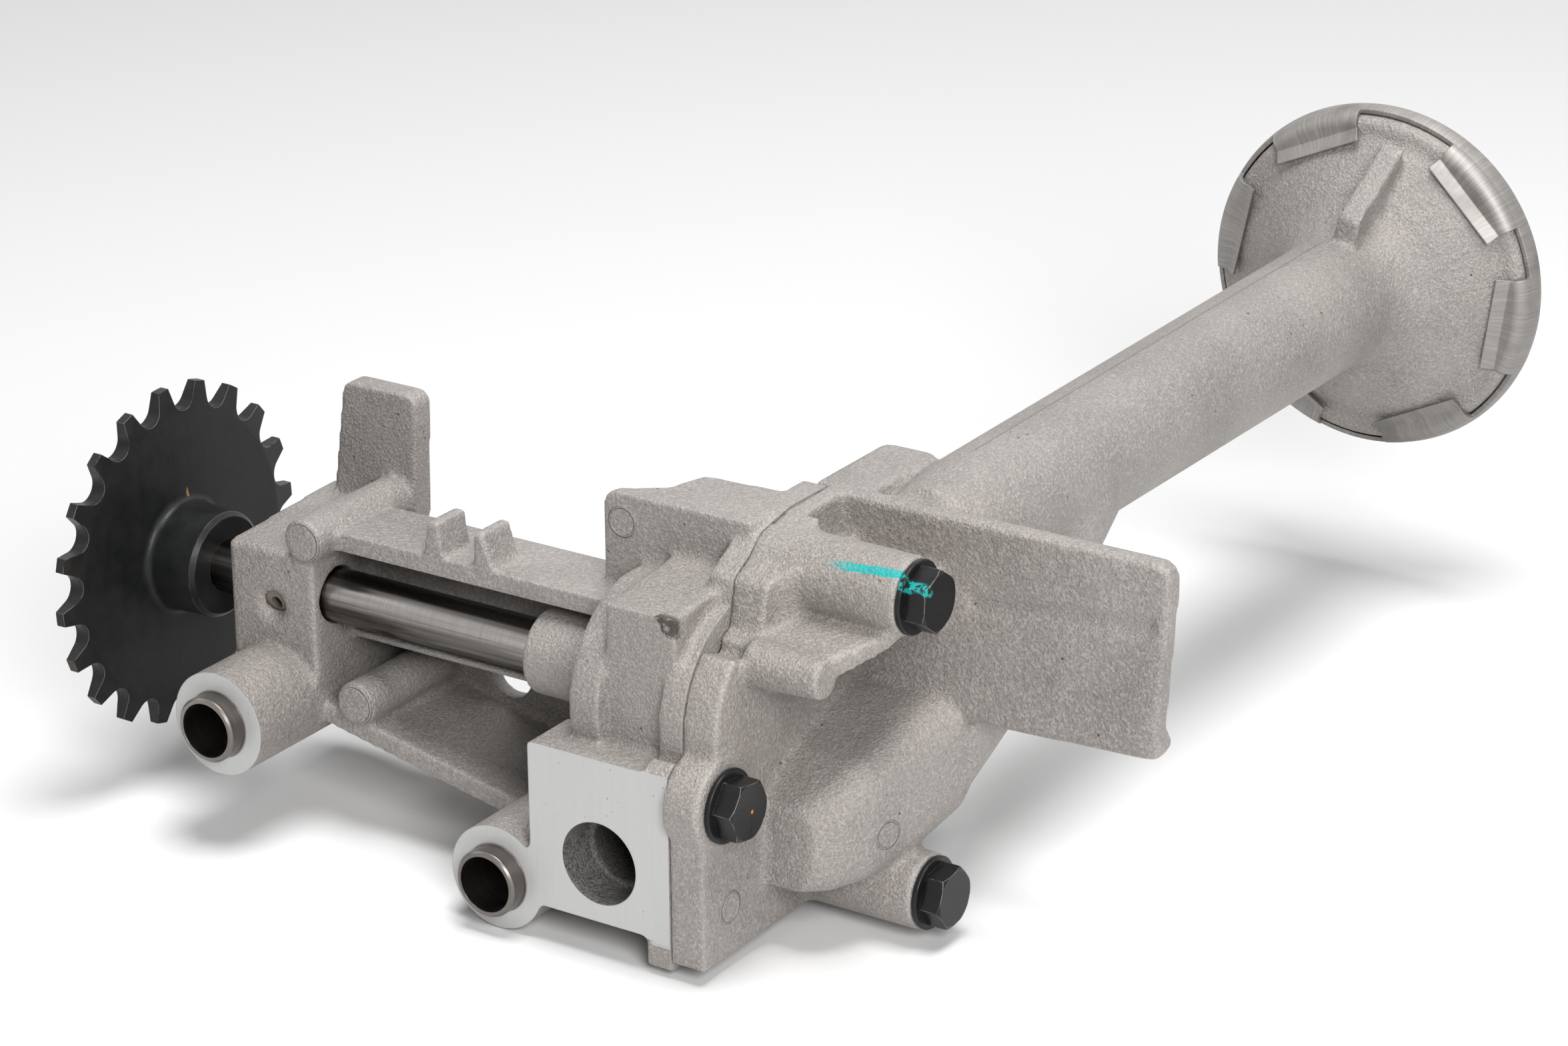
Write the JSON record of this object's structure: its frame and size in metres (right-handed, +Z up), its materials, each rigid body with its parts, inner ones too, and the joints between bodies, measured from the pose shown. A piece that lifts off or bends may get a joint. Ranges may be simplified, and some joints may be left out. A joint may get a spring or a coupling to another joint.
{
  "type": "engine oil pump",
  "caption": "Chain driven gear oil pump in a cast two-part body, with mounting bosses, outlet port, relief valve and a long suction tube ending in a strainer bell.",
  "frame": {"origin": "on the drive shaft axis, level along the shaft with the mounting boss next to the sprocket", "axes": "+X along the drive shaft from the sprocket to the pump cover, -Y out of the machined mounting faces, +Z up as the part stands in the picture"},
  "size_m": [0.2, 0.2439, 0.1017],
  "materials": {
    "cast_alloy": "shot-blasted sand-coloured grey casting with light machined faces",
    "black_steel": "black oxide, slightly oiled",
    "sprocket_steel": "dark oxidised sintered steel with worn edges",
    "ground_steel": "ground and polished",
    "gear_steel": "sintered and oiled",
    "bush_bronze": "plain bearing bronze",
    "sleeve_steel": "turned, lightly oxidised",
    "spring_steel": "bright drawn wire",
    "seal_copper": "soft metal washer",
    "cup_steel": "pressed sheet, drawn marks",
    "screen_steel": "punched sheet"
  },
  "bodies": {
    "pump_body": {"pump_housing": "cast_alloy", "pump_cover": "cast_alloy", "front_bush": "bush_bronze", "rear_bush": "bush_bronze", "idler_pin": "ground_steel", "dowel_sleeves": "sleeve_steel", "cover_bolts": "black_steel", "bolt_washers": "black_steel", "locating_pins": "ground_steel", "relief_seal": "seal_copper", "relief_plug": "black_steel", "relief_spring": "spring_steel", "strainer_cup": "cup_steel", "strainer_screen": "screen_steel"},
    "drive_rotor": {"drive_shaft": "ground_steel", "drive_sprocket": "sprocket_steel", "drive_gear": "gear_steel", "gear_key": "gear_steel"},
    "idler_rotor": {"idler_gear": "gear_steel", "idler_bush": "bush_bronze"},
    "valve_piston": {"relief_piston": "ground_steel"}
  },
  "joints": [
    {"name": "drive_spin", "type": "hinge", "parent": "pump_body", "child": "drive_rotor", "pos_m": [0, 0, 0], "axis": [1, 0, 0], "continuous": true},
    {"name": "idler_spin", "type": "hinge", "parent": "pump_body", "child": "idler_rotor", "pos_m": [0.09, 0.02215, -0.00923], "axis": [1, 0, 0], "continuous": true},
    {"name": "relief_slide", "type": "slide", "parent": "pump_body", "child": "valve_piston", "axis": [0, 1, 0], "range_m": [0, 0.004], "stiffness_N_per_m": 50, "springref_m": -0.01, "deforming": ["relief_spring"]}
  ],
  "couplings": [
    {"joint": "idler_spin", "follows": "drive_spin", "ratio": -1}
  ]
}
